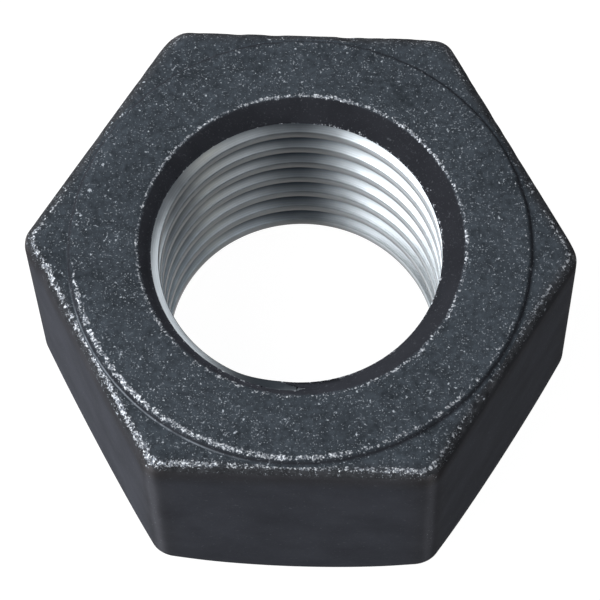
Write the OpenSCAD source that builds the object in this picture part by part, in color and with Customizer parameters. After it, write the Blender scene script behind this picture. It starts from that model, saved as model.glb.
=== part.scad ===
// Heavy hexagon nut with a raised washer face, a countersunk right-hand
// thread and a chamfered far side, as forged and then turned and tapped.
// Millimetres, +Z up. The nut lies on its chamfered side, as in the photo:
// Z = 0 is that side, the origin is on the thread's axis, and two of the six
// corners lie on the X axis.

/* [Hexagon] */
// Distance between two opposite flats
across_flats = 55; // [50:1:65]
// Height over everything, with the washer face
nut_height = 32.3; // [26:0.1:40]
// Radius of the six upright corners
corner_round = 2.9; // [1:0.1:4]
// Radius of the edges where the flats meet the shoulder round the washer face
edge_round = 1.5; // [0.5:0.1:2]

/* [Washer face] */
// How far the rim of the washer face stands back from the flats
washer_face_inset = 1.55; // [1.3:0.05:3]
// Height of the washer face over the shoulder
washer_face_step = 0.53; // [0.2:0.01:1]
// How much further out the foot of the washer face is than its rim
washer_face_flare = 0.4; // [0:0.05:0.6]

/* [Chamfered side] */
// How far the bearing ring on the chamfered side stands back from the flats
bearing_inset = 1.2; // [0.5:0.1:3]
// Angle that the chamfer makes with the bearing ring
chamfer_angle = 30; // [15:1:40]

/* [Thread] */
// Outer diameter of the stud that the nut takes
thread_d = 36; // [30:0.5:40]
// Distance from one turn of the thread to the next
thread_pitch = 4; // [3:0.5:4.5]
// How much wider than the pointed standard form the bore between crests is
crest_allowance = 0.57; // [0:0.01:0.6]
// Direction in which the top groove starts to cut the countersink
thread_start = 45; // [0:5:355]

/* [Countersinks] */
// How much wider than the stud both countersinks are
sink_over = 1.5; // [0.6:0.1:3]
// Full angle of both countersinks
sink_angle = 110; // [90:1:120]

/* [Hidden] */
$fn = 120;
cut = 1; // how far each cutting shape runs past the face that it opens

// Straight steps that one turn of the thread is swept in
thread_steps = 48;
// Shares of the pitch that a metric thread has between root, crest and flank
minor_share = 1.0825;
root_share = 1 / 8;
flank_angle = 30;

flat_r = across_flats / 2;
half_side = 30; // angle between a corner and the middle of the next flat
corner_r = flat_r / cos(half_side);
shoulder_z = nut_height - washer_face_step;
rim_r = flat_r - washer_face_inset;
foot_r = rim_r + washer_face_flare;
bearing_r = flat_r - bearing_inset;
chamfer_h = (corner_r - bearing_r) * tan(chamfer_angle);

thread_r = thread_d / 2;
bore_r = (thread_d - minor_share * thread_pitch + crest_allowance) / 2;
sink_r = (thread_d + sink_over) / 2;
sink_depth = (sink_r - bore_r) / tan(sink_angle / 2);

// The groove's section: half its width at the root, at the bore's wall, and at
// the radius inside the bore where the cutting shape ends in air
groove_overrun = 0.4;
groove_in_r = bore_r - groove_overrun;
root_half = root_share * thread_pitch / 2;
mouth_half = root_half + (thread_r - groove_in_r) * tan(flank_angle);
bore_half = root_half + (thread_r - bore_r) * tan(flank_angle);

// The groove's upper flank meets the top countersink's lower edge at
// thread_start, which fixes the height of every turn
groove_top_z = nut_height - sink_depth - bore_half;
turns_below = ceil((groove_top_z + mouth_half + cut) / thread_pitch);
turns_above = ceil((nut_height - groove_top_z + mouth_half + cut) / thread_pitch);
sweep_steps = (turns_below + turns_above) * thread_steps;

blued_steel = [0.23, 0.25, 0.28];

// One corner of the groove's section at one step of the sweep
function groove_point(i, r, dz) =
    let (turn = i / thread_steps - turns_below, a = thread_start + 360 * turn)
    [r * cos(a), r * sin(a), groove_top_z + thread_pitch * turn + dz];

// Hexagon with round corners, and a corner on +X: a sharp hexagon loses its
// tips where each rounding leaves the flats, and a round of the corner's radius
// then fills each corner
module hexagon() {
    round_centre = corner_r - corner_round / cos(half_side);
    tip_cut = round_centre + corner_round * cos(half_side);
    union() {
        intersection() {
            circle(r = corner_r, $fn = 6);
            rotate(half_side)
                circle(r = tip_cut / cos(half_side), $fn = 6);
        }
        for (k = [0 : 5])
            rotate(60 * k)
                translate([round_centre, 0])
                    circle(r = corner_round);
    }
}

// What turning leaves: the flat shoulder, and the cone of the chamfered side
module turned_blank() {
    rotate_extrude()
        polygon([
            [0, 0],
            [bearing_r, 0],
            [corner_r, chamfer_h],
            [corner_r, shoulder_z],
            [0, shoulder_z]
        ]);
}

// What the rounding takes off the edge between one flat and the shoulder
module edge_waste() {
    difference() {
        translate([flat_r - edge_round, -corner_r, shoulder_z - edge_round])
            cube([edge_round + cut, 2 * corner_r, edge_round + cut]);
        translate([flat_r - edge_round, 0, shoulder_z - edge_round])
            rotate([90, 0, 0])
                cylinder(r = edge_round, h = 2 * (corner_r + cut), center = true);
    }
}

module washer_face() {
    translate([0, 0, shoulder_z - cut])
        cylinder(r = foot_r, h = cut);
    translate([0, 0, shoulder_z])
        cylinder(r1 = foot_r, r2 = rim_r, h = washer_face_step);
}

// Bore between the crests, with a countersink at each end
module bore() {
    widen = cut * tan(sink_angle / 2);
    rotate_extrude()
        polygon([
            [0, -cut],
            [sink_r + widen, -cut],
            [bore_r, sink_depth],
            [bore_r, nut_height - sink_depth],
            [sink_r + widen, nut_height + cut],
            [0, nut_height + cut]
        ]);
}

// The groove of the thread, swept as one body from below the nut to above it
module thread_groove() {
    last = 4 * sweep_steps;
    polyhedron(
        points = [
            for (i = [0 : sweep_steps]) each [
                groove_point(i, groove_in_r, -mouth_half),
                groove_point(i, thread_r, -root_half),
                groove_point(i, thread_r, root_half),
                groove_point(i, groove_in_r, mouth_half)
            ]
        ],
        faces = concat(
            [[0, 3, 2], [0, 2, 1]],
            [
                for (i = [0 : sweep_steps - 1]) for (k = [0 : 3])
                    let (a = 4 * i + k, b = 4 * i + (k + 1) % 4)
                    each [[a, b, a + 4], [b, b + 4, a + 4]]
            ],
            [[last, last + 1, last + 2], [last, last + 2, last + 3]]
        )
    );
}

module hex_nut() {
    color(blued_steel)
        difference() {
            union() {
                difference() {
                    intersection() {
                        linear_extrude(height = shoulder_z)
                            hexagon();
                        turned_blank();
                    }
                    for (k = [0 : 5])
                        rotate(half_side + 60 * k)
                            edge_waste();
                }
                washer_face();
            }
            bore();
            thread_groove();
        }
}

hex_nut();
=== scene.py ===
# %% [markdown]
# # A heavy hexagon nut in black oxide, with a bare cut thread
#
# The real nut is hot-forged steel. Its top is turned flat, its corners are
# rounded, and it is blackened before the thread is cut, so the coat is dark
# and the thread is bright. The whole nut is one piece of steel, so it could be
# made in Blender by cutting shapes out of each other. A cut mesh has long thin
# faces and nothing to wear down, so here the skin is one closed grid instead:
# columns run round the nut, rows run across its section, and every feature is a
# row. That gives clean edges, and points to move where the steel is nicked.

import bpy
import numpy as np
from mathutils import Matrix, Vector


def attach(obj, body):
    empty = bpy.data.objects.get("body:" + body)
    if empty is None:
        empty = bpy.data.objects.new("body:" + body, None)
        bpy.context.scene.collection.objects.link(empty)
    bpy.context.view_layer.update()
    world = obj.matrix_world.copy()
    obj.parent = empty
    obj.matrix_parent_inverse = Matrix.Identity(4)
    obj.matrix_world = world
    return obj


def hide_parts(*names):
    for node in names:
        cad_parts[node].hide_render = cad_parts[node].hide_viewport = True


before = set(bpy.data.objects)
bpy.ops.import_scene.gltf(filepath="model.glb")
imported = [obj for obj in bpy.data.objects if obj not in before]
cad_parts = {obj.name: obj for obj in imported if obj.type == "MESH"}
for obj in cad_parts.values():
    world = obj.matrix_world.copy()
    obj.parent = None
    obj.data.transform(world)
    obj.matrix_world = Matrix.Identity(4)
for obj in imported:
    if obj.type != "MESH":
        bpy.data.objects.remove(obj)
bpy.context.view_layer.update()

# %% [markdown]
# The sizes below are the ones that the nut was drawn with, in millimetres, the
# unit on a machinist's drawing. Most of them hang on the distance across the
# flats, the height and the stud that the nut takes. Blender works in metres, so
# one factor turns every finished point into metres at the end, and nothing is
# scaled by hand.

# %% Sizes of the hexagon, the washer face and the chamfer, in millimetres
MM = 0.001
ACROSS_FLATS = 55.0
HEIGHT = 32.3
CORNER_ROUND = 2.9
EDGE_ROUND = 1.5
FLAT_R = ACROSS_FLATS / 2
SHOULDER_Z = HEIGHT - 0.53
WASHER_RIM_R = FLAT_R - 1.55
WASHER_FOOT_R = WASHER_RIM_R + 0.4
BEARING_R = FLAT_R - 1.2
CHAMFER_SLOPE = np.tan(np.radians(30))
print("washer face", round(2 * WASHER_RIM_R, 2), "mm wide, bearing ring", round(2 * BEARING_R, 2), "mm")

# %% Sizes of the thread and its countersinks, in millimetres
STUD_R = 18.0
PITCH = 4.0
BORE_R = 16.12
SINK_R = STUD_R + 0.75
SINK_SLOPE = np.tan(np.radians(55))
ROOT_HALF = PITCH / 16
FLANK_SLOPE = np.tan(np.radians(30))
SINK_DEPTH = (SINK_R - BORE_R) / SINK_SLOPE
BORE_HALF = ROOT_HALF + (STUD_R - BORE_R) * FLANK_SLOPE
THREAD_START = np.radians(45)
GROOVE_TOP_Z = HEIGHT - SINK_DEPTH - BORE_HALF
print("countersink depth", round(SINK_DEPTH, 3), "mm, top groove at", round(GROOVE_TOP_Z, 3), "mm")

# %% [markdown]
# The columns are closer together near the six corners, where the outline turns
# fast, and wider on the flats, where it is straight. A cubic curve of the step
# number does that smoothly, so neighbouring faces never differ much in size.

# %% Directions of the columns
SIDES = 6
STEPS = 96
SLOW = 0.8
HALF_SIDE = np.radians(30)
FULL_SIDE = np.radians(60)


def column_angles():
    """Direction of every column.

    One side's steps t run from -1 to 1 past its corner, and the angle from the
    corner is 30 degrees times SLOW t + (1 - SLOW) t cubed.
    """
    t = np.linspace(-1, 1, STEPS, endpoint=False)
    one = HALF_SIDE * (SLOW * t + (1 - SLOW) * t ** 3)
    return np.concatenate([one + FULL_SIDE * k for k in range(SIDES)])


theta = column_angles()
COLUMNS = len(theta)
from_corner = np.abs((theta + HALF_SIDE) % FULL_SIDE - HALF_SIDE)
print(COLUMNS, "columns")

# %% [markdown]
# The outline is a hexagon with round corners. A smaller outline inside it, at a
# given distance, is again such a hexagon with smaller rounds, so one formula
# gives every ring between the outer faces and the washer face.

# %% Hexagon with round corners, and rings inside it
ROUND_CENTRE = (FLAT_R - CORNER_ROUND) / np.cos(HALF_SIDE)


def ring_radius(inset):
    """Radius in each column of the outline moved inwards by inset.

    A straight side is (flat - inset) / cos(angle to its middle), and a corner
    is the far crossing of a ray with its round.
    """
    r = CORNER_ROUND - inset
    turn = np.arctan2(r * np.sin(HALF_SIDE), ROUND_CENTRE + r * np.cos(HALF_SIDE))
    side = (FLAT_R - inset) / np.cos(HALF_SIDE - from_corner)
    a = np.minimum(from_corner, turn)
    under = np.maximum(r * r - (ROUND_CENTRE * np.sin(a)) ** 2, 0)
    return np.where(from_corner < turn, ROUND_CENTRE * np.cos(a) + np.sqrt(under), side)


def inset_at(radius):
    """Distance of a point inside the outline: to the side next to it, or to the corner's round."""
    x = radius * np.cos(from_corner) - ROUND_CENTRE
    y = radius * np.sin(from_corner)
    out = x * np.cos(HALF_SIDE) + y * np.sin(HALF_SIDE)
    along = y * np.cos(HALF_SIDE) - x * np.sin(HALF_SIDE)
    return CORNER_ROUND - np.where(along > 0, out, np.hypot(x, y))


def edge_drop(inset):
    """How far the round top edge lies under the shoulder at that inset: a quarter circle."""
    d = np.clip(EDGE_ROUND - inset, 0, EDGE_ROUND)
    return EDGE_ROUND - np.sqrt(EDGE_ROUND ** 2 - d ** 2)


outline = ring_radius(0)
print("across corners", round(2 * outline.max(), 3), "mm")

# %% [markdown]
# The outside is a list of rows, from the rim of the upper countersink outwards,
# down the flats and back in to the rim of the lower one. Each row is a radius
# and a height in every column. Two rows lie close together at each edge, which
# gives it a small bevel: a worn edge catches a line of light there. The rim of
# this nut's upper countersink is a little off the thread's axis, most likely
# because the two were cut in different clampings.

# %% Rows of the flat top and the washer face
RIM_R = 18.47
RIM_SHIFT = 0.32
RIM_TOWARDS = np.radians(58)
TOP_RINGS = (19.9, 21.0, 22.2, 23.2, 24.2, 25.0, 25.45)
RIM_TURN = ((-0.23, 0.005), (-0.05, 0.05), (0.08, 0.16))
FOOT_TURN = ((-0.15, 0.15), (-0.05, 0.01), (0.07, -0.05))


def same(value):
    """One number in every column."""
    return np.full(COLUMNS, float(value))


def rim_radius(angle):
    """Radius of the upper countersink's rim: a circle whose centre lies RIM_SHIFT to one side."""
    return RIM_R + RIM_SHIFT * np.cos(angle - RIM_TOWARDS)


def top_rows():
    """Countersink rim, flat top, and the sloping rim of the washer face down to its foot."""
    rim = rim_radius(theta)
    flat_from = rim + 0.22
    rows = [(rim + 0.05, same(HEIGHT - 0.045)), (flat_from, same(HEIGHT))]
    rows += [(flat_from + (TOP_RINGS[0] - flat_from) * t, same(HEIGHT)) for t in (0.3, 0.65)]
    rows += [(same(r), same(HEIGHT)) for r in TOP_RINGS]
    rows += [(same(WASHER_RIM_R + out), same(HEIGHT - down)) for out, down in RIM_TURN]
    rows += [(same(WASHER_FOOT_R + out), same(SHOULDER_Z + up)) for out, up in FOOT_TURN]
    return rows


print(len(top_rows()), "rows on top")

# %% Rows of the shoulder and its round edge
SHOULDER_INSETS = (4.0, 3.2, 2.5, 1.9, 1.5, 1.25, 1.0, 0.78, 0.58, 0.40, 0.26, 0.14, 0.05)
FOOT_CLEAR_R = 26.56
FOOT_CLEAR_STEP = 0.03


def shoulder_rows():
    """Rings of the outline between the washer face's foot and the top edge, let down by its round.

    Rings deeper than the corners' rounds keep the deepest ring's shape. Where a
    ring would cross the foot, it follows it, a little outside the ring before.
    """
    deepest = CORNER_ROUND - 0.05
    rows = []
    for k, inset in enumerate(SHOULDER_INSETS):
        ring = ring_radius(min(inset, deepest)) - max(inset - deepest, 0)
        radius = np.maximum(ring, FOOT_CLEAR_R + FOOT_CLEAR_STEP * k)
        radius = np.minimum(radius, ring_radius(0.002))
        rows.append((radius, SHOULDER_Z - edge_drop(inset_at(radius))))
    return rows


print(len(shoulder_rows()), "rows on the shoulder")

# %% Rows of the sides, the chamfer and the bearing ring
LOW_ROUND = 0.35
LOW_ROUND_CORNER = 0.85
SIDE_STEPS = 12
ROUND_STEPS = np.radians((15, 30, 45, 60))
BEARING_RINGS = (BEARING_R - 0.15, 25.0, 23.0, 21.0, 19.4, 19.0)


def lower_edge():
    """Height at which the chamfer's cone meets the sides, and the radius of the round between them.

    The round is larger at the corners, by a bell curve of 7 degrees.
    """
    meet = (outline - BEARING_R) * CHAMFER_SLOPE
    return meet, LOW_ROUND + LOW_ROUND_CORNER * np.exp(-(from_corner / np.radians(7)) ** 2)


def side_rows():
    """The six sides, down to the round that leads into the chamfer: an arc of 60 degrees."""
    high = SHOULDER_Z - EDGE_ROUND
    meet, rounding = lower_edge()
    start = meet + rounding * np.tan(HALF_SIDE)
    rows = [(outline, high + (start - high) * t) for t in np.linspace(0, 1, SIDE_STEPS)]
    for phi in ROUND_STEPS:
        rows.append((outline - rounding * (1 - np.cos(phi)), start - rounding * np.sin(phi)))
    return rows


def under_rows():
    """The chamfer's cone, the bearing ring and the rim of the lower countersink."""
    begin = outline - lower_edge()[1] / 2
    rows = []
    for t in (0.35, 0.7, 1.0):
        radius = begin + (BEARING_R + 0.12 - begin) * t
        rows.append((radius, (radius - BEARING_R) * CHAMFER_SLOPE))
    rows += [(same(r), same(0)) for r in BEARING_RINGS]
    rows.append((same(SINK_R + 0.05), same(0.045)))
    return rows


outside = top_rows() + shoulder_rows() + side_rows() + under_rows()
print(len(outside), "rows outside")

# %% [markdown]
# A tap cuts the thread as one long groove that climbs 4 mm in each turn, and
# that runs out through both countersinks. If the rows of the bore lay flat, the
# groove would cross them and its edges would come out as stairs. So these rows
# climb with the groove: after one turn, each row meets the next one up. The
# radius at a point is the larger of the groove's and the countersink's. In its
# last turn the groove gets narrower and then shallower, until it is gone. The
# way along it is counted in degrees: from -30 to 330 in the top turn, and 360
# less for each turn below.

# %% The groove, and where it runs out
TAPER_UNDER = 1.7
OVER_WAY = (-40, 10, 130, 165, 220, 250, 288, 330)
OVER_SHARE = (1, 1.5, 1.5, 1.35, 1.35, 1.76, 1.76, 1)
SHALLOW_FROM, SHALLOW_TO = 262, 288


def ease(value, low, high):
    """0 below low, 1 above high, and a smooth S between: 3 t squared minus 2 t cubed."""
    t = np.clip((value - low) / (high - low), 0, 1)
    return t * t * (3 - 2 * t)


def groove_height(angle):
    """Height of the top groove's middle in that direction."""
    return GROOVE_TOP_Z + PITCH * (angle - THREAD_START) / (2 * np.pi)


def tightness(way):
    """How much narrower than its full section the groove is, under and over its middle."""
    under = 1 + TAPER_UNDER * (ease(way, 245, 280) - ease(way, 290, 330))
    return under, np.interp(way, OVER_WAY, OVER_SHARE)


def groove_radius(z, angle):
    """Radius of the threaded wall: crest, straight flank and flat root, repeated each pitch.

    The height h over the middle of the nearest groove gives the place in its
    section, and the root comes in to the bore's wall where the groove runs out.
    """
    rise = z - groove_height(angle)
    turn = np.floor(rise / PITCH + 0.5)
    h = rise - PITCH * turn
    way = np.degrees(angle) + 360 * turn
    under, over = tightness(way)
    h = np.where(h < 0, -h * under, h * over)
    root = STUD_R - (STUD_R - BORE_R) * ease(way, SHALLOW_FROM, SHALLOW_TO)
    return np.clip(root - (h - ROOT_HALF) / FLANK_SLOPE, BORE_R, root)


def sink_radius(z, angle):
    """Radius of the countersinks' cones at height z, whichever is wider there."""
    upper = rim_radius(angle) - SINK_SLOPE * (HEIGHT - z)
    return np.maximum(upper, SINK_R - SINK_SLOPE * z)


print("thread from radius", BORE_R, "to", STUD_R, "mm, gone at", SHALLOW_TO, "degrees of the last turn")

# %% [markdown]
# Each turn has eleven rows: one in the middle of the crest, one on each flank,
# and two at every edge of the thread's section, a little to each side of it.
# That makes narrow bevels, as on a real thread, where no edge is perfectly
# sharp.

# %% Rows of the bore
HALF_BEVEL = 0.055
ROOT_BEVEL = 0.07
MID_FLANK = 0.8
CUT_EDGE = 0.14
LOWEST_TURN, TURNS = -9, 12
half_section = np.array([ROOT_HALF - ROOT_BEVEL, ROOT_HALF + ROOT_BEVEL, MID_FLANK,
                         BORE_HALF - HALF_BEVEL, BORE_HALF + HALF_BEVEL])
turn_rows = np.concatenate([[-PITCH / 2], -half_section[::-1], half_section])
PER_TURN = len(turn_rows)


def climbing_rows():
    """Height of every row in every column: the groove's middle plus the row's place in its section.

    Places are drawn in where the groove is narrower, apart from the crest's middle.
    """
    turns = np.repeat(np.arange(LOWEST_TURN, LOWEST_TURN + TURNS), PER_TURN)[::-1, None]
    place = np.tile(turn_rows, TURNS)[::-1, None]
    under, over = tightness(np.degrees(theta)[None, :] + 360 * turns)
    drawn = np.where(place == -PITCH / 2, 1, np.where(place < 0, under, over))
    return groove_height(theta)[None, :] + PITCH * turns + place / drawn


def meet_edges(z):
    """Moves the nearer point of two rows onto the place where the groove and a cone cross between them."""
    def lead(zz):
        return groove_radius(zz, theta[None, :]) - sink_radius(zz, theta[None, :])

    f = lead(z)
    upper, lower = z[:-1], z[1:]
    crossing = (f[:-1] * f[1:] < 0) & (upper - lower > 1e-6)
    a, b = upper.copy(), lower.copy()
    sign = np.sign(f[:-1])
    for _ in range(30):
        m = (a + b) / 2
        above_it = np.sign(lead(m)) == sign
        a, b = np.where(above_it, m, a), np.where(above_it, b, m)
    first = crossing & (upper - a < a - lower)
    last = crossing & ~first
    out = z.copy()
    out[:-1] = np.where(first & (upper < HEIGHT - CUT_EDGE), a, out[:-1])
    out[1:] = np.where(last & (lower > CUT_EDGE), a, out[1:])
    return out


bore_z = meet_edges(np.clip(climbing_rows(), CUT_EDGE, HEIGHT - CUT_EDGE))
bore_r = np.maximum(groove_radius(bore_z, theta[None, :]), sink_radius(bore_z, theta[None, :]))
print("bore rows", len(bore_z), "radius from", round(bore_r.min(), 3), "to", round(bore_r.max(), 3), "mm")

# %% [markdown]
# Now the rows become points and faces. Bore rows that would stand above the
# countersink's rim all end on it, so in each column they share one point. The
# last column joins the first one, one turn of rows further on. Faces that
# shrink to a line there are left out, and the rest are quads or triangles.

# %% Number the points and join them into one closed skin
def number_points():
    """Point numbers of the grids: outside rows first, then both rims, then the bore rows.

    Bore rows that are cut off at an end take the numbers of that end's rim.
    """
    rows = len(outside)
    out_ids = np.arange(rows * COLUMNS).reshape(rows, COLUMNS)
    base = rows * COLUMNS
    high = bore_z >= HEIGHT - CUT_EDGE - 1e-9
    low = bore_z <= CUT_EDGE + 1e-9
    top_rim = base + np.arange(COLUMNS)
    low_rim = base + COLUMNS + np.arange(COLUMNS)
    free = base + 2 * COLUMNS + np.arange(bore_z.size).reshape(bore_z.shape)
    bore_ids = np.where(high, top_rim[None, :], np.where(low, low_rim[None, :], free))
    return np.concatenate([top_rim[None, :], out_ids, low_rim[None, :]]), bore_ids


def with_seam(ids, shift):
    """The grid with its first column again at the end, shifted down where the rows climb."""
    first = ids[:, 0]
    if shift:
        first = np.concatenate([np.full(shift, first[0]), first[:-shift]])
    return np.concatenate([ids, first[:, None]], axis=1)


def grid_faces(ids):
    """Corner numbers of every quad, in an order that faces away from the steel."""
    return np.stack([ids[:-1, :-1], ids[1:, :-1], ids[1:, 1:], ids[:-1, 1:]], -1).reshape(-1, 4)


outer_ids, bore_ids = number_points()
skin = grid_faces(with_seam(outer_ids, 0))
wall = grid_faces(with_seam(bore_ids, PER_TURN))[:, ::-1]
faces = np.concatenate([skin, wall])
print(len(faces), "faces before the shrunk ones are dropped")

# %% Places of all points
rim_z = [same(HEIGHT - CUT_EDGE), same(CUT_EDGE)]
rim_r = [sink_radius(z, theta) for z in rim_z]
radius = np.concatenate([r for r, z in outside] + rim_r + [bore_r.ravel()])
height = np.concatenate([z for r, z in outside] + rim_z + [bore_z.ravel()])
angle = np.tile(theta, len(outside) + 2 + len(bore_z))
points = np.stack([radius * np.cos(angle), radius * np.sin(angle), height], -1)
print(len(points), "points before the unused ones are dropped")

# %% Drop what shrank to nothing, and keep quads and triangles
same_next = faces == np.roll(faces, -1, axis=1)
folded = (faces[:, 0] == faces[:, 2]) | (faces[:, 1] == faces[:, 3])
pinched = (same_next.sum(1) == 1) & ~folded
quads = faces[(same_next.sum(1) == 0) & ~folded]
triangles = faces[pinched][~same_next[pinched]].reshape(-1, 3)
used = np.zeros(len(points), bool)
used[quads.ravel()] = True
used[triangles.ravel()] = True
renumber = np.cumsum(used) - 1
quads, triangles = renumber[quads], renumber[triangles]
points, angle = points[used], angle[used]
print(len(points), "points,", len(quads), "quads,", len(triangles), "triangles")

# %% [markdown]
# Blender takes the points and the faces as whole arrays, which is much faster
# than adding them one by one. The nut then rides on the part's only body, and
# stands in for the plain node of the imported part.

# %% Make the mesh
mesh = bpy.data.meshes.new("nut_body")
mesh.vertices.add(len(points))
mesh.vertices.foreach_set("co", (points * MM).astype(np.float32).ravel())
corners = np.concatenate([quads.ravel(), triangles.ravel()]).astype(np.int32)
sizes = np.concatenate([np.full(len(quads), 4), np.full(len(triangles), 3)])
starts = np.concatenate([[0], np.cumsum(sizes)[:-1]]).astype(np.int32)
mesh.loops.add(len(corners))
mesh.loops.foreach_set("vertex_index", corners)
mesh.polygons.add(len(sizes))
mesh.polygons.foreach_set("loop_start", starts)
mesh.update(calc_edges=True)
mesh.validate()
nut = bpy.data.objects.new("nut_body", mesh)
bpy.context.scene.collection.objects.link(nut)
print("mesh:", len(mesh.polygons), "faces")

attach(nut, "root")
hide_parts("hex_nut")

# %% [markdown]
# Nuts travel loose in a box, so their edges are bruised. Small dents could be
# sculpted by hand, but a list of them in code can be read and changed. Each dent
# is a soft hollow, a bell curve round its centre, and it only pushes the skin
# inwards, so the nut stays inside its own size.

# %% List of the dents
DENT_SEED = 36
SMALL_DENTS = 520
DEEPEST = 0.6
# Direction in degrees, distance inside the outline, size and depth in millimetres
LARGE_DENTS = (
    (188, 0.3, 1.3, 0.62), (193, 0.6, 0.7, 0.2), (203, 0.7, 0.8, 0.18), (212, 0.6, 0.9, 0.22),
    (222, 0.5, 0.8, 0.2), (233.5, 0.5, 0.9, 0.3), (235.5, 0.6, 1.0, 0.32), (237.5, 0.7, 1.1, 0.3),
    (240, 0.6, 1.2, 0.25), (300, 0.5, 1.3, 0.22), (1, 0.6, 1.2, 0.2), (121, 0.5, 1.3, 0.22),
    (62, 0.6, 1.1, 0.2), (271, 0.6, 0.7, 0.16), (284, 0.7, 0.8, 0.14),
)
rng = np.random.default_rng(DENT_SEED)


def edge_place(azimuth, inset):
    """Radius and height of the point on the round top edge in that direction, at that inset."""
    near = np.radians(np.abs((azimuth + 30) % 60 - 30))
    side = (FLAT_R - inset) / np.cos(HALF_SIDE - near)
    corner = ROUND_CENTRE + (CORNER_ROUND - inset)
    return np.minimum(side, corner), SHOULDER_Z - edge_drop(inset)


def dent_list():
    """Centre, size and depth of each dent: small ones at random on three edges, then the large ones."""
    n = SMALL_DENTS
    azimuth = rng.uniform(0, 360, n)
    edge = rng.choice(3, n, p=(0.5, 0.28, 0.22))
    r_edge, z_edge = edge_place(azimuth, rng.uniform(0.3, 1.1, n))
    r_rim = rim_radius(np.radians(azimuth)) + 0.05
    r = np.choose(edge, (r_edge, np.full(n, WASHER_RIM_R - 0.05), r_rim))
    z = np.choose(edge, (z_edge, np.full(n, HEIGHT), np.full(n, HEIGHT)))
    size = rng.uniform(0.28, 0.75, n)
    depth = rng.uniform(0.03, 0.13, n) * np.choose(edge, (1.0, 0.75, 0.7))
    a, inset, big, deep = np.array(LARGE_DENTS).T
    r_big, z_big = edge_place(a, inset)
    turn = np.radians(np.append(azimuth, a))
    r, z = np.append(r, r_big), np.append(z, z_big)
    return np.stack([r * np.cos(turn), r * np.sin(turn), z], -1), np.append(size, big), np.append(depth, deep)


def dent_depth(at):
    """Depth of all dents at each point: the sum of depth times exp(-(distance / size) squared)."""
    total = np.zeros(len(at))
    for where, size, depth in zip(*dent_list()):
        close = np.abs(at - where).max(1) < 3 * size
        total[close] += depth * np.exp(-((at[close] - where) ** 2).sum(1) / size ** 2)
    return np.minimum(total, DEEPEST)


# %% Push the dents in
normals = np.zeros(len(points) * 3, np.float32)
mesh.vertex_normals.foreach_get("vector", normals)
dents = dent_depth(points)
worn = points - normals.reshape(-1, 3) * dents[:, None]
mesh.vertices.foreach_set("co", (worn * MM).astype(np.float32).ravel())
mesh.update()
print("deepest dent", round(float(dents.max()), 2), "mm")

# %% [markdown]
# The coat wears off where the nut is handled and knocked: on the rim of the
# countersink, the rim of the washer face and the upper edges. A wear mask could
# be painted by hand. Here it is worked out from each point's distance to those
# edges, times how much that part of the nut is worn, and kept on the points.
# Directions go round from +X, so 180 is the left of the picture and 270 the
# side that is nearest.

# %% Where each point lies
r_at = np.hypot(points[:, 0], points[:, 1])
z_at = points[:, 2]
deg = np.degrees(angle) % 360
rim_at = rim_radius(angle)
corner_turn = np.abs((deg + 30) % 60 - 30)
inset_here = FLAT_R - r_at * np.cos(np.radians(30 - corner_turn))
inset_tip = np.minimum(inset_here, ROUND_CENTRE + CORNER_ROUND - r_at)
inset_here = np.where(corner_turn < 3, inset_tip, inset_here)
high = z_at > HEIGHT - 1.3
on_side = inset_here < 0.3


def near_edge(distance, width):
    """A bell curve over the distance to an edge."""
    return np.exp(-(distance / width) ** 2)


def by_direction(*pairs):
    """A value for each point's direction: pairs of degrees and value, joined by straight lines."""
    return np.interp(deg, *np.array(pairs, float).T)


print("points on the sides:", int(on_side.sum()), "and on top:", int(high.sum()))

# %% How much each upper edge is worn, going round the nut
rim_worn = by_direction((0, 1.05), (30, 1.1), (50, 1.5), (75, 1.4), (100, 1.25), (130, 1.05),
                        (180, 1.05), (225, 1.0), (270, 0.9), (315, 1.0), (360, 1.05))
rim_spread = by_direction((0, 0.42), (90, 0.40), (160, 0.42), (220, 0.58), (330, 0.58), (360, 0.42))
face_worn = by_direction((0, 0.85), (45, 0.8), (90, 0.85), (135, 0.7), (170, 0.72), (186, 0.95),
                         (200, 1.35), (235, 1.4), (255, 1.35), (275, 1.2), (300, 1.05), (330, 0.95),
                         (360, 0.85))
face_spread = by_direction((0, 0.42), (180, 0.42), (205, 0.56), (285, 0.56), (320, 0.42), (360, 0.42))
edge_worn = by_direction((0, 1.0), (30, 0.65), (60, 0.8), (90, 0.55), (120, 0.75), (150, 0.55), (175, 1.0),
                         (185, 1.15), (205, 1.2), (225, 1.25), (236, 1.6), (244, 1.4), (255, 1.1), (275, 1.0),
                         (298, 1.1), (315, 0.85), (335, 0.8), (355, 1.0), (360, 1.0))
print("upper edges worn from", edge_worn.min().round(2), "to", edge_worn.max().round(2))

# %% Wear of every edge, and the largest of them at each point
TOP_TURN_Z = 28
lip = sink_radius(z_at, angle) - groove_radius(z_at, angle)
over_chamfer = z_at - (r_at - BEARING_R) * CHAMFER_SLOPE
edges = [
    near_edge(r_at - rim_at - 0.17, rim_spread) * rim_worn * (z_at > HEIGHT - 0.6) * (r_at > rim_at - 0.45),
    near_edge(r_at - (WASHER_RIM_R - 0.33), face_spread) * face_worn * (z_at > HEIGHT - 0.4),
    near_edge(inset_here - 1.0, 0.62) * edge_worn * high * (r_at > WASHER_FOOT_R + 0.15),
    near_edge(corner_turn, 2.6) * 0.68 * on_side * (z_at > 2) * (z_at < 31),
    near_edge(over_chamfer, 0.25) * 0.6 * on_side,
    near_edge(r_at - BEARING_R, 0.2) * 0.6 * (z_at < 0.3),
    near_edge(r_at - SINK_R, 0.25) * 0.7 * (z_at < 0.3),
    near_edge(lip, 0.22) * 0.95 * (z_at > TOP_TURN_Z) * (r_at < rim_at - 0.3),
]
wear = np.clip(np.maximum.reduce(edges) + 0.9 * dents, 0, 1.2)
print("points with half of their coat gone:", int((wear > 0.5).sum()))

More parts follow.
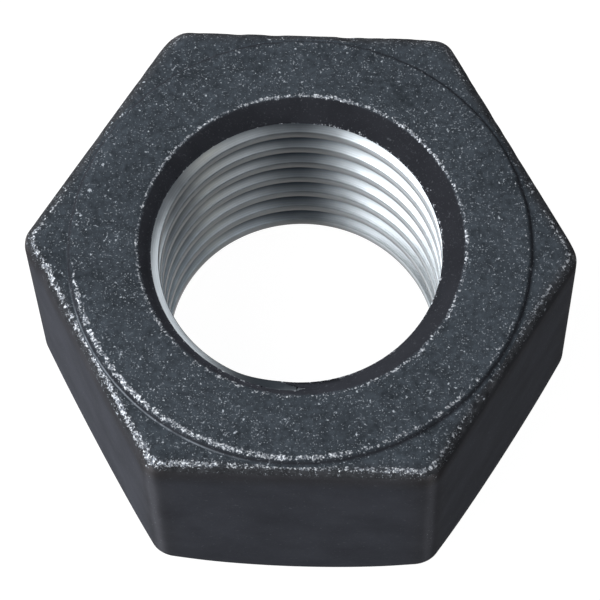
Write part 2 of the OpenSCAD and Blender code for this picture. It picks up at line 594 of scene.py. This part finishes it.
# %% [markdown]
# The coat isn't the same everywhere. The turned top has a coarse blasted grain,
# the sides and the countersinks are smoother, the countersinks are darkened
# with painted shade that changes with direction, the foot of the washer face is
# a dark line of painted shade, and the corners and upper edges look a little
# browner, where hands rub the coat thin. A bright ring at the washer face's
# foot, on the left side only, is a painted highlight.

# %% Grain, tone with painted shade, and browning of the coat
in_sink = (r_at < rim_at - 0.03) | ((z_at < 5) & (r_at < SINK_R - 0.03))
# Painted shade: a dark line at the foot of the washer face, which also has less grain.
shaded_foot = near_edge(r_at - (WASHER_FOOT_R - 0.19), 0.14) * high
grain = np.where(high & ~in_sink, 1.0 - 0.8 * shaded_foot, 0.1)
# Painted shade: the countersinks are darker than the top, most on the right and least on the near side.
sink_shade = by_direction((0, 0.38), (45, 0.40), (90, 0.42), (180, 0.46),
                         (270, 0.66), (330, 0.50), (360, 0.38))
corner_light = 1.2 * near_edge(corner_turn, 1.2) * on_side * (z_at > 1.5)
coat_tone = np.where(in_sink, sink_shade, 1.0 - 0.5 * shaded_foot + corner_light)
brown_edge = 0.7 * near_edge(inset_here - 0.35, 0.9) * (z_at > 28.5) * (r_at > WASHER_FOOT_R + 0.25)
brown_corner = 0.5 * near_edge(corner_turn, 3.5) * on_side
brown = np.clip(brown_edge + brown_corner, 0, 1)
# The side where the painted highlight ring at the washer face's foot shows: the left and near left.
arc = by_direction((190, 0), (205, 1), (250, 1), (262, 0)) * high
print("coat tone from", round(float(coat_tone.min()), 2), "to", round(float(coat_tone.max()), 2))

# %% [markdown]
# In the bore the tap leaves bright flanks. The crests between the grooves are
# what is left of the drilled hole: light but dull, like frosted metal. The deep
# part of the grooves is darkened with painted shade, and more painted shade
# darkens the far side and a little of the left. Each crest is painted darker
# towards its lower edge, and the right side gets a painted highlight on its
# crests and flanks. The open groove at the mouth gets no painted root shade; it
# is lighter towards the left and darker where it runs out. Beyond that, the
# strip under the countersink was never cut and keeps its coat. These are again
# numbers on the points, because the rows of the grid follow the thread.

# %% Tone of the flanks, with painted shade towards the root, and of the open groove at the mouth
ROOT_SHADE_TOP = 0.33
FLANK_TOP = 1.28
CREST_FROM = 1.39
MOUTH_FROM_Z = 28.4
MOUTH_FADE = 1.2
h_signed = (z_at - groove_height(angle) + PITCH / 2) % PITCH - PITCH / 2
h_at = np.abs(h_signed)
# Painted shade: the flanks darken towards the root of the groove.
cut_tone = np.interp(h_at, (0, ROOT_SHADE_TOP, MID_FLANK, FLANK_TOP), (0.02, 0.05, 0.16, 0.92))
lower_part = np.clip(0.5 - h_signed / 0.6, 0, 1)
fading = np.maximum(ease(deg, 226, 258) * lower_part, ease(deg, 258, 287))
# The open groove at the mouth: lighter towards the left, darker where it runs out.
mouth_tone = (0.56 + 0.20 * ease(deg, 95, 150)) * (1 - 0.85 * fading)
at_mouth = np.clip((z_at - MOUTH_FROM_Z) / MOUTH_FADE, 0, 1) * (h_at < BORE_HALF)
cut_tone = cut_tone + (mouth_tone - cut_tone) * at_mouth

# %% Tone of the drilled crests, with painted shade on the far side and a painted highlight on the right side
CREST_PLACES = (-PITCH / 2, -CREST_FROM, 0, CREST_FROM, PITCH / 2)
# Painted shade: each crest is darker towards its lower edge.
crest_tone = np.interp(h_signed, CREST_PLACES, (0.21, 0.34, 0.21, 0.11, 0.21))
# Painted highlight: the crests and flanks on the bore's right side are lighter.
right_side_highlight = 1 - ease(np.abs((deg + 165) % 360 - 180), 38, 82)
top_crest = ease(deg, 246, 284) * (z_at > TOP_TURN_Z)
crest_tone = crest_tone * (1 + 2.2 * right_side_highlight) * (1 - 0.62 * top_crest)
drilled = np.interp(h_at, (FLANK_TOP, CREST_FROM), (0, 1)) * (r_at < BORE_R + 0.06)
cut_tone = cut_tone + (crest_tone - cut_tone) * drilled
# Painted shade: the thread is darker on the far side and a little on the left.
far_side_shade = 0.60 * near_edge(deg - 91, 17) + 0.22 * near_edge(deg - 148, 24)
flank_highlight = np.interp(h_at, (ROOT_SHADE_TOP, MID_FLANK, FLANK_TOP), (0, 1, 0.3)) * (1 - drilled)
cut_tone = cut_tone * (1 - far_side_shade) + 0.20 * right_side_highlight * flank_highlight
print("thread tone from", round(float(cut_tone.min()), 2), "to", round(float(cut_tone.max()), 2))

# %% Keep the numbers on the points
RUN_OUT_END = 287
way_at = np.degrees(angle)
rise_at = z_at - groove_height(angle)
coated_strip = rise_at > BORE_HALF / tightness(way_at)[1] - 0.03
coated_strip |= (way_at > RUN_OUT_END + 0.5) & (rise_at > BORE_HALF - PITCH + 0.03)
threaded = (r_at < STUD_R + 0.02) & (lip < 0.01) & ~coated_strip
tone = np.where(threaded, cut_tone, coat_tone)


def keep(name, values):
    """Puts one number per point on the mesh, for the materials to read."""
    layer = mesh.attributes.new(name, "FLOAT", "POINT")
    layer.data.foreach_set("value", values.astype(np.float32))


keep("wear", wear)
keep("grain", grain)
keep("tone", tone)
keep("brown", brown)
keep("arc", arc)
keep("drilled", drilled)
print("kept on the points:", [a.name for a in mesh.attributes if a.domain == "POINT"])

# %% [markdown]
# The grid's faces are small but flat. Smooth shading lets the light run over
# them as over one surface. Edges that turn by more than 50 degrees are real
# edges of the nut, and stay sharp.

# %% Smooth shading, with the real edges kept sharp
SHARP_OVER = np.radians(50)
mesh.polygons.foreach_set("use_smooth", np.ones(len(mesh.polygons), bool))
mesh.set_sharp_from_angle(angle=SHARP_OVER)
print("smooth faces:", len(mesh.polygons), "of", len(mesh.edges), "edges")

# %% [markdown]
# The coat is black oxide: a thin dark layer, slightly blue, with no shine of its
# own. Its grain comes from blasting. Fine light specks show where the blasted
# peaks are rubbed bare, and on worn edges these join into ragged silver. One
# noise makes both: wear lowers the level above which bare steel shows. A
# painted picture could do it too, but it would have seams and a fixed grain.

# %% Small helpers for materials, which add nodes to the material started last
BLACK = (0, 0, 0)


def new_material(name):
    """A material with only its shader and its output."""
    m = bpy.data.materials.new(name)
    m.use_nodes = True
    return m, m.node_tree.nodes, m.node_tree.links, m.node_tree.nodes["Principled BSDF"]


def noise(coords, scale, detail, label):
    """A noise on object coordinates: its grain is about 1 / scale metres."""
    n = nodes.new("ShaderNodeTexNoise")
    n.label = label
    n.inputs["Scale"].default_value = scale
    n.inputs["Detail"].default_value = detail
    links.new(coords, n.inputs["Vector"])
    return n.outputs["Fac"]


def maths(operation, *values, clamp=False):
    """One step of arithmetic between sockets and numbers."""
    n = nodes.new("ShaderNodeMath")
    n.operation = operation
    n.use_clamp = clamp
    for k, v in enumerate(values):
        if isinstance(v, (int, float)):
            n.inputs[k].default_value = v
        else:
            links.new(v, n.inputs[k])
    return n.outputs[0]


def above(value, level, steepness):
    """0 under the level and 1 over it, with a ramp between: (value - level) times steepness."""
    return maths("MULTIPLY", maths("SUBTRACT", value, level), steepness, clamp=True)


def blend(share, a, b):
    """Colour a where share is 0, and colour b where it is 1."""
    n = nodes.new("ShaderNodeMix")
    n.data_type = "RGBA"
    links.new(share, n.inputs["Factor"])
    for socket, v in ((n.inputs[6], a), (n.inputs[7], b)):
        if isinstance(v, tuple):
            socket.default_value = (*v, 1)
        else:
            links.new(v, socket)
    return n.outputs[2]


def kept(name):
    """A number that was kept on the points."""
    n = nodes.new("ShaderNodeAttribute")
    n.attribute_name = name
    return n.outputs["Fac"]


def from_axis(coords):
    """Distance from the thread's axis: the length of a point with its height taken out."""
    level_only = nodes.new("ShaderNodeVectorMath")
    level_only.operation = "MULTIPLY"
    level_only.inputs[1].default_value = (1, 1, 0)
    links.new(coords, level_only.inputs[0])
    away = nodes.new("ShaderNodeVectorMath")
    away.operation = "LENGTH"
    links.new(level_only.outputs[0], away.inputs[0])
    return away.outputs["Value"]


def rough_up(height, strength, distance):
    """Joins a bump to the shader: height is the relief, distance its depth in metres."""
    bump = nodes.new("ShaderNodeBump")
    bump.inputs["Strength"].default_value = strength
    bump.inputs["Distance"].default_value = distance
    links.new(height, bump.inputs["Height"])
    links.new(bump.outputs["Normal"], shader.inputs["Normal"])


# %% Black oxide coat: patches and colour
BLASTED_TOP = (0.081, 0.098, 0.118)
ROLLED_SIDE = (0.109, 0.115, 0.140)
RUBBED = (0.086, 0.084, 0.089)
coat, nodes, links, shader = new_material("black_oxide")
coords = nodes.new("ShaderNodeTexCoord").outputs["Object"]
wear_in, grain_in, tone_in, brown_in = kept("wear"), kept("grain"), kept("tone"), kept("brown")
cloudy = noise(coords, 170, 2, "cloudy patches")
uneven = noise(coords, 1500, 3, "uneven coat")
patches = maths("MULTIPLY", maths("MULTIPLY_ADD", uneven, 0.75, -0.375), grain_in)
thickness = maths("ADD", maths("MULTIPLY_ADD", cloudy, 0.35, 0.315), patches)
# The kept tone brings in the painted shade of the countersinks and of the washer face's foot.
thickness = maths("MULTIPLY", thickness, tone_in)
plain_coat = blend(grain_in, blend(thickness, BLACK, ROLLED_SIDE), blend(thickness, BLACK, BLASTED_TOP))
coat_color = blend(brown_in, plain_coat, blend(thickness, BLACK, RUBBED))
print("colour of the coat:", len(nodes), "nodes")

# %% Black oxide coat: specks and short scratches
SPECK_COLOR = (0.42, 0.46, 0.51)
fine = noise(coords, 4700, 2, "fine grain")
coarse = noise(coords, 2300, 3, "coarse grain")
crowded = noise(coords, 600, 2, "where specks crowd")
speck_line = maths("MULTIPLY_ADD", crowded, -0.15, 0.692)
fine_specks = maths("MULTIPLY", above(fine, speck_line, 9), 0.5)
coarse_specks = above(coarse, maths("ADD", speck_line, 0.045), 12)
slanted = nodes.new("ShaderNodeMapping")
slanted.inputs["Rotation"].default_value = (0, 0, 0.75)
slanted.inputs["Scale"].default_value = (1, 6, 1)
links.new(coords, slanted.inputs["Vector"])
scratch_noise = noise(slanted.outputs["Vector"], 1100, 2, "short scratches")
scratches = maths("MULTIPLY", above(scratch_noise, 0.70, 10), 0.5)
specks = maths("MAXIMUM", maths("MAXIMUM", fine_specks, coarse_specks), scratches)
speckled = blend(maths("MULTIPLY", specks, grain_in), coat_color, SPECK_COLOR)
print("with specks:", len(nodes), "nodes")

# %% Black oxide coat: worn edges
ragged = noise(coords, 2100, 5, "ragged wear")
bare_level = maths("MULTIPLY_ADD", wear_in, -0.33, 0.82)
mixed = maths("ADD", maths("MULTIPLY", ragged, 0.6), maths("MULTIPLY", fine, 0.4))
bare_share = above(mixed, bare_level, 12)
glitter = above(noise(coords, 4300, 2, "glitter"), 0.44, 4.0)
dull_steel = blend(glitter, (0.06, 0.07, 0.085), (0.36, 0.38, 0.41))
shiny_steel = blend(glitter, (0.13, 0.145, 0.17), (0.80, 0.84, 0.89))
silver = blend(above(wear_in, 0.45, 2.2), dull_steel, shiny_steel)
worn_color = blend(bare_share, speckled, silver)
print("with worn edges:", len(nodes), "nodes")

# %% Black oxide coat: a painted highlight ring at the washer face's foot, and the shader
# In metres, because a material reads Blender's own unit
RING_R = 0.02634
RING_SHARPNESS = 8500
RING_HIGHLIGHT_COLOR = (0.27, 0.30, 0.34)
# Painted highlight: a bright ring at the washer face's foot, on the left side only.
off_ring = maths("ABSOLUTE", maths("SUBTRACT", from_axis(coords), RING_R))
on_ring = maths("SUBTRACT", 1.0, maths("MULTIPLY", off_ring, RING_SHARPNESS), clamp=True)
ring_highlight = maths("MULTIPLY", maths("MULTIPLY", on_ring, kept("arc")), above(crowded, 0.30, 4.0))
final_color = blend(maths("MULTIPLY", ring_highlight, 0.7), worn_color, RING_HIGHLIGHT_COLOR)
links.new(final_color, shader.inputs["Base Color"])
links.new(maths("MULTIPLY", bare_share, 0.4), shader.inputs["Metallic"])
links.new(maths("MULTIPLY_ADD", bare_share, -0.30, 0.72), shader.inputs["Roughness"])
shader.inputs["Specular IOR Level"].default_value = 0.012
relief = maths("MULTIPLY", maths("ADD", fine, uneven), maths("ADD", grain_in, bare_share))
rough_up(relief, 0.6, 0.00005)
print("black oxide:", len(nodes), "nodes")

# %% [markdown]
# The bare thread is steel fresh from the cut: a metal that mirrors the room, but
# roughly, because the tap leaves fine lines that follow the groove. The lines
# are a noise over the distance from the axis alone, so they run round the bore.
# Its colour carries the bore's painted shade and highlights, and where the
# painted shade is darkest it stays dark blue rather than black.

# %% Bare cut thread
SHADE_BLUE = (0, 0.010, 0.024)
CUT_STEEL = (0.84, 0.91, 0.96)
DRILLED_STEEL = (0.80, 0.86, 0.91)
bright, nodes, links, shader = new_material("cut_thread")
coords = nodes.new("ShaderNodeTexCoord").outputs["Object"]
stain = noise(coords, 420, 3, "stains")
lines = nodes.new("ShaderNodeTexNoise")
lines.noise_dimensions = "1D"
lines.inputs["Scale"].default_value = 5200
lines.inputs["Detail"].default_value = 2
links.new(from_axis(coords), lines.inputs["W"])
tap_lines = lines.outputs["Fac"]
drilled_in, tone_in = kept("drilled"), kept("tone")
streaks = maths("ADD", maths("MULTIPLY_ADD", stain, 0.4, 0.5), maths("MULTIPLY", tap_lines, 0.6))
frost = maths("MULTIPLY_ADD", stain, 0.6, 0.7)
# The kept tone brings in the bore's painted shade and highlights; the darkest shade is dark blue.
cut_color = blend(maths("MULTIPLY", streaks, tone_in), SHADE_BLUE, CUT_STEEL)
dull_color = blend(maths("MULTIPLY", frost, tone_in), BLACK, DRILLED_STEEL)
links.new(blend(drilled_in, cut_color, dull_color), shader.inputs["Base Color"])
links.new(maths("MULTIPLY_ADD", drilled_in, -0.20, 0.78), shader.inputs["Metallic"])
roughness = maths("ADD", maths("MULTIPLY_ADD", stain, 0.12, 0.26), maths("MULTIPLY", drilled_in, 0.10))
links.new(roughness, shader.inputs["Roughness"])
shader.inputs["Specular IOR Level"].default_value = 0.1
rough_up(tap_lines, 0.25, 0.00002)
print("cut thread:", len(nodes), "nodes")

# %% [markdown]
# A face is bare where the groove or the drilled bore lies deeper than the
# countersink. The strip above the top groove was left by the tap, so it keeps
# its coat, and so does the strip beyond the end of the run-out.

# %% Which faces the tap has cut
mesh.materials.append(coat)
mesh.materials.append(bright)
centre = np.zeros(len(mesh.polygons) * 3)
mesh.polygons.foreach_get("center", centre)
c_x, c_y, c_z = centre.reshape(-1, 3).T / MM
c_r = np.hypot(c_x, c_y)
c_a = np.arctan2(c_y, c_x)
c_a = np.where(c_a < theta[0], c_a + 2 * np.pi, c_a)
c_way = np.degrees(c_a)
rise = c_z - groove_height(c_a)
in_bore = c_r < rim_radius(c_a) - SINK_SLOPE * CUT_EDGE
deeper = groove_radius(c_z, c_a) > sink_radius(c_z, c_a) + 0.004
over_groove = rise > BORE_HALF / tightness(c_way)[1]
over_groove |= (c_way > RUN_OUT_END) & (rise > BORE_HALF - PITCH)
bare = in_bore & deeper & ~over_groove & (c_z > CUT_EDGE)
mesh.polygons.foreach_set("material_index", bare.astype(np.int32))
mesh.update()
print(int(bare.sum()), "faces of bare thread")

# %% [markdown]
# The camera looks down at the nut as in the photograph. Its place and turn come
# from fitting the edges of the hexagon, the rings and the bore, in units in
# which the flats lie 41.275 apart. One factor brings the fit to metres.

# %% Camera
FIT = ACROSS_FLATS / 41.275 * MM
YAW, PITCH_DOWN, ROLL = -0.0745, 1.1611, -0.0369
FOCAL_PX, DISTANCE, OFF_X, OFF_Y = 3184.03, 280.025, 1.9591, -0.0422
AIM = (0, 0, 12.5)
FRAME_PX = 600
look = np.array([np.sin(YAW) * np.cos(PITCH_DOWN), np.cos(YAW) * np.cos(PITCH_DOWN), -np.sin(PITCH_DOWN)])
level_right = np.array([np.cos(YAW), -np.sin(YAW), 0])
level_up = np.cross(level_right, look)
right = np.cos(ROLL) * level_right + np.sin(ROLL) * level_up
up = -np.sin(ROLL) * level_right + np.cos(ROLL) * level_up
place = np.array(AIM) - look * DISTANCE - (right * OFF_X + up * OFF_Y) * DISTANCE / FOCAL_PX
camera = bpy.data.objects.new("camera", bpy.data.cameras.new("camera"))
bpy.context.scene.collection.objects.link(camera)
turn = Matrix(np.stack([right, up, -look], 1).tolist()).to_4x4()
camera.matrix_world = Matrix.Translation(Vector((place * FIT).tolist())) @ turn
camera.data.sensor_width = 36
camera.data.lens = FOCAL_PX / FRAME_PX * camera.data.sensor_width
camera.data.clip_start = 0.01
bpy.context.scene.camera = camera
print("lens", round(camera.data.lens, 1), "mm, looking down by", round(np.degrees(PITCH_DOWN), 1), "degrees")

# %% [markdown]
# The nut stands on a wide sheet of white paper, as in a product photograph. The
# paper's whiteness is for the eye only: a camera ray, and a ray that the metal
# mirrors, find it nearly white, but it lights the nut only as matt paper does.
# A small matt share is left in it, so the nut's shadow still shows. The sheet
# lies a hair under the bearing ring, so that the two don't fight for one plane.

# %% Shape of the paper
PAPER_DROP = 0.00002


def sheet_points(rings=12, steps=72, reach=30.0):
    """A round flat sheet: the radius grows with the square of the ring's number."""
    radius = reach * (np.linspace(0, 1, rings)[:, None]) ** 2
    a = np.linspace(0, 2 * np.pi, steps, endpoint=False)[None, :]
    return np.stack([radius * np.cos(a), radius * np.sin(a), 0 * radius * a - PAPER_DROP], -1)


sheet = sheet_points()
ids = np.arange(sheet.shape[0] * sheet.shape[1]).reshape(sheet.shape[:2])
ids = np.concatenate([ids, ids[:, :1]], 1)
ring_faces = np.stack([ids[1:-1, :-1], ids[2:, :-1], ids[2:, 1:], ids[1:-1, 1:]], -1).reshape(-1, 4)
middle = [tuple(ids[1, :-1].tolist())]
floor_mesh = bpy.data.meshes.new("paper")
floor_mesh.from_pydata(sheet.reshape(-1, 3).tolist(), [], ring_faces.tolist() + middle)
floor = bpy.data.objects.new("paper", floor_mesh)
bpy.context.scene.collection.objects.link(floor)
print("paper:", len(floor_mesh.polygons), "faces")

# %% Whiteness of the paper
PAPER_MATTE = (0.20, 0.20, 0.20, 1)
PAPER_FAINT = (0.10, 0.10, 0.10, 1)
PAPER_GLOW = 0.98
white, nodes, links, plain_shader = new_material("white_paper")
nodes.remove(plain_shader)
matte = nodes.new("ShaderNodeBsdfDiffuse")
matte.inputs["Color"].default_value = PAPER_MATTE
faint = nodes.new("ShaderNodeBsdfDiffuse")
faint.inputs["Color"].default_value = PAPER_FAINT
glow = nodes.new("ShaderNodeEmission")
glow.inputs["Strength"].default_value = PAPER_GLOW
add = nodes.new("ShaderNodeAddShader")
mix = nodes.new("ShaderNodeMixShader")
path = nodes.new("ShaderNodeLightPath")
seen = maths("MAXIMUM", path.outputs["Is Camera Ray"], path.outputs["Is Glossy Ray"])
seen = maths("MAXIMUM", seen, path.outputs["Is Transmission Ray"])
links.new(faint.outputs[0], add.inputs[0])
links.new(glow.outputs[0], add.inputs[1])
links.new(seen, mix.inputs["Fac"])
links.new(matte.outputs[0], mix.inputs[1])
links.new(add.outputs[0], mix.inputs[2])
links.new(mix.outputs[0], nodes["Material Output"].inputs["Surface"])
floor_mesh.materials.append(white)
print("paper glows at", PAPER_GLOW, "for the eye and is", PAPER_MATTE[0], "grey for the light")

# %% [markdown]
# One wide soft lamp, high on the left, gives the light, and reaches down the
# bore so that its right wall shines. Bare metal looks like what it mirrors, so
# four weaker panels stand round the nut: one at the far left that the bore's
# right wall mirrors, one low at the near left for the outer flats, and two on
# the right that the bore's left wall mirrors. A very small warm lamp adds a
# glint there. The room itself is dim and slightly blue.

# %% Light
ROOM_COLOR = (0.112, 0.116, 0.124, 1)
WHITE_LIGHT = (1, 1, 1)
WARM_LIGHT = (1, 0.86, 0.62)
# Name, direction and height in degrees, distance, width and height in metres, watts, colour
LAMPS = (
    ("window_left", 187, 53, 0.7, 0.98, 0.55, 6.1, WHITE_LIGHT),
    ("panel_far_left", 152, 31, 0.8, 0.50, 0.35, 2.4, WHITE_LIGHT),
    ("panel_front_left", 234, 16, 0.9, 0.5, 0.35, 2.2, WHITE_LIGHT),
    ("panel_right", 42, 15, 0.9, 1.1, 0.30, 1.4, WHITE_LIGHT),
    ("panel_front_right", 326, 46, 1.0, 0.6, 0.5, 0.42, WHITE_LIGHT),
    ("small_lamp", 338, 45, 0.8, 0.05, 0.05, 0.06, WARM_LIGHT),
)
world = bpy.data.worlds.new("dim_room")
bpy.context.scene.world = world
world.use_nodes = True
world.node_tree.nodes["Background"].inputs["Color"].default_value = ROOM_COLOR
world.node_tree.nodes["Background"].inputs["Strength"].default_value = 1


def softbox(name, azimuth, elevation, distance, width, tall, watts, color):
    """A rectangular lamp that faces the nut from that direction."""
    light = bpy.data.lights.new(name, "AREA")
    light.shape = "RECTANGLE"
    light.size = width
    light.size_y = tall
    light.energy = watts
    light.color = color
    a, e = np.radians(azimuth), np.radians(elevation)
    spot = Vector((np.cos(a) * np.cos(e), np.sin(a) * np.cos(e), np.sin(e))) * distance
    o = bpy.data.objects.new(name, light)
    o.location = spot
    o.rotation_euler = (-spot).to_track_quat("-Z", "Y").to_euler()
    bpy.context.scene.collection.objects.link(o)


for lamp in LAMPS:
    softbox(*lamp)
print(len(LAMPS), "lamps,", round(sum(lamp[6] for lamp in LAMPS), 1), "watts")

# %% [markdown]
# Last, the plain view settings, and the size of what is shown, written next to
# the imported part's own size, so that the two can be compared.

# %% View settings and sizes
scene = bpy.context.scene
scene.view_settings.view_transform = "Standard"
